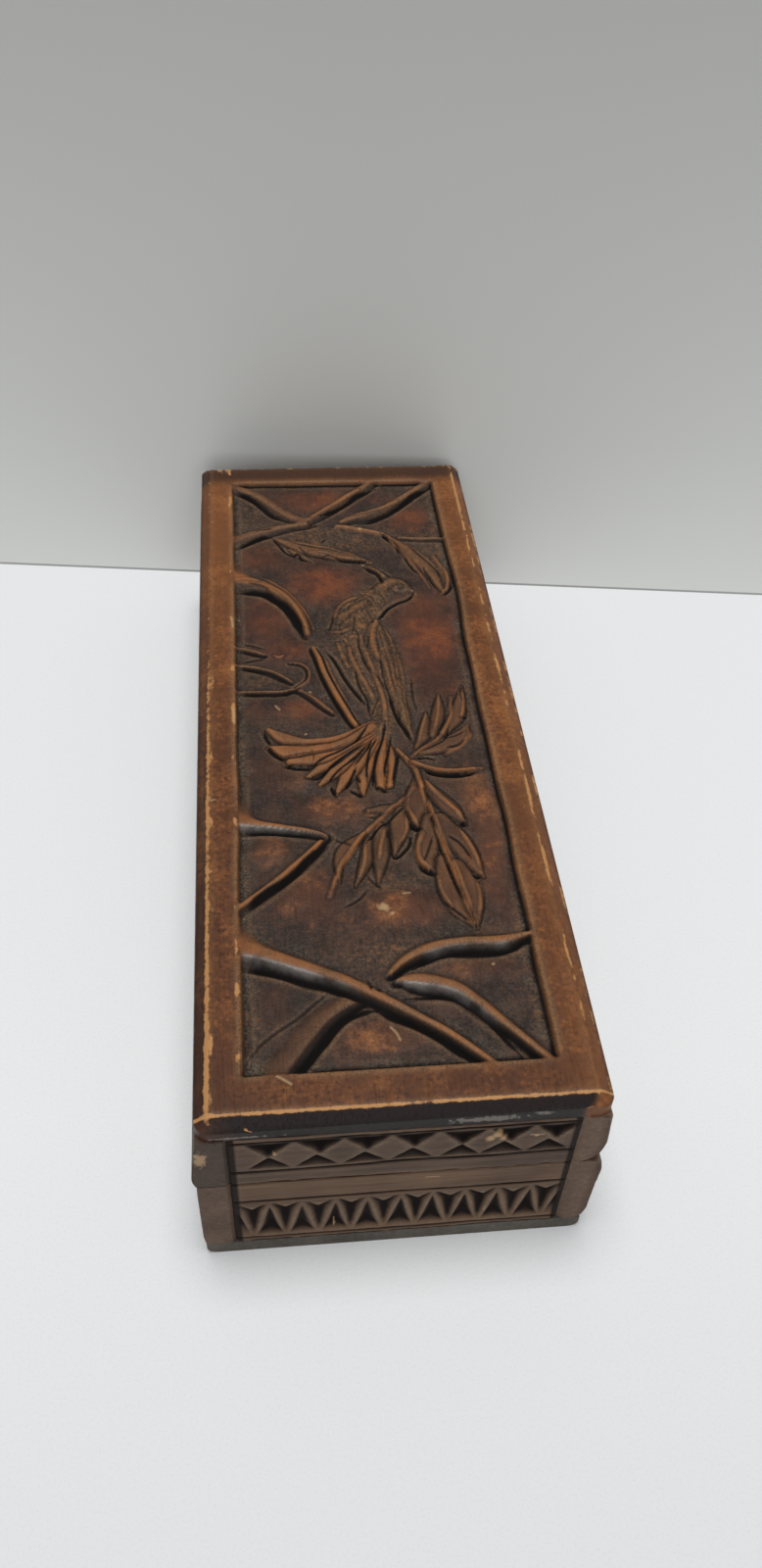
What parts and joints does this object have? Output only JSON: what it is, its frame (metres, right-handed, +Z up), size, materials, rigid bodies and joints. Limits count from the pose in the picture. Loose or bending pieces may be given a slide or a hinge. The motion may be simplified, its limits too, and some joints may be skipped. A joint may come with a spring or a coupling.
{
  "type": "hinged wooden box",
  "caption": "Long low wooden box with a hinged lid: a bird and branches carved in the sunk top, chip-carved bands of diamonds and zigzags round the sides.",
  "frame": {"origin": "middle of the box, hinge knuckles included, on the table under its bottom board", "axes": "+Y along the box away from the pictured end, +X from the hinges to the opening side, +Z up"},
  "size_m": [0.1036, 0.2858, 0.064],
  "materials": {
    "carved_walnut_stain": "worn brown stain and old polish, lighter on the arrises, dark in the hollows",
    "stained_wood": "matt grey-brown stain, nearly bare on the arrises",
    "bottom_wood": "matt stained wood",
    "hinge_brass": "dull, tarnished",
    "pin_steel": "dull",
    "brad_iron": "darkened iron"
  },
  "bodies": {
    "base": {"base_back_side": "stained_wood", "base_front_side": "stained_wood", "base_near_end": "stained_wood", "base_far_end": "stained_wood", "bottom_board": "bottom_wood", "near_hinge_base_leaf": "hinge_brass", "near_hinge_pin": "pin_steel", "far_hinge_base_leaf": "hinge_brass", "far_hinge_pin": "pin_steel", "base_hinge_screws": "hinge_brass", "base_corner_brads": "brad_iron", "bottom_board_brads": "brad_iron"},
    "lid": {"lid_board": "carved_walnut_stain", "lid_back_side": "stained_wood", "lid_front_side": "stained_wood", "lid_near_end": "stained_wood", "lid_far_end": "stained_wood", "near_hinge_lid_leaf": "hinge_brass", "far_hinge_lid_leaf": "hinge_brass", "lid_hinge_screws": "hinge_brass", "lid_corner_brads": "brad_iron"}
  },
  "joints": [
    {"name": "lid_hinge", "type": "hinge", "parent": "base", "child": "lid", "pos_m": [-0.05063, 0, 0.03635], "axis": [0, -1, 0], "range_deg": [0, 165]}
  ]
}
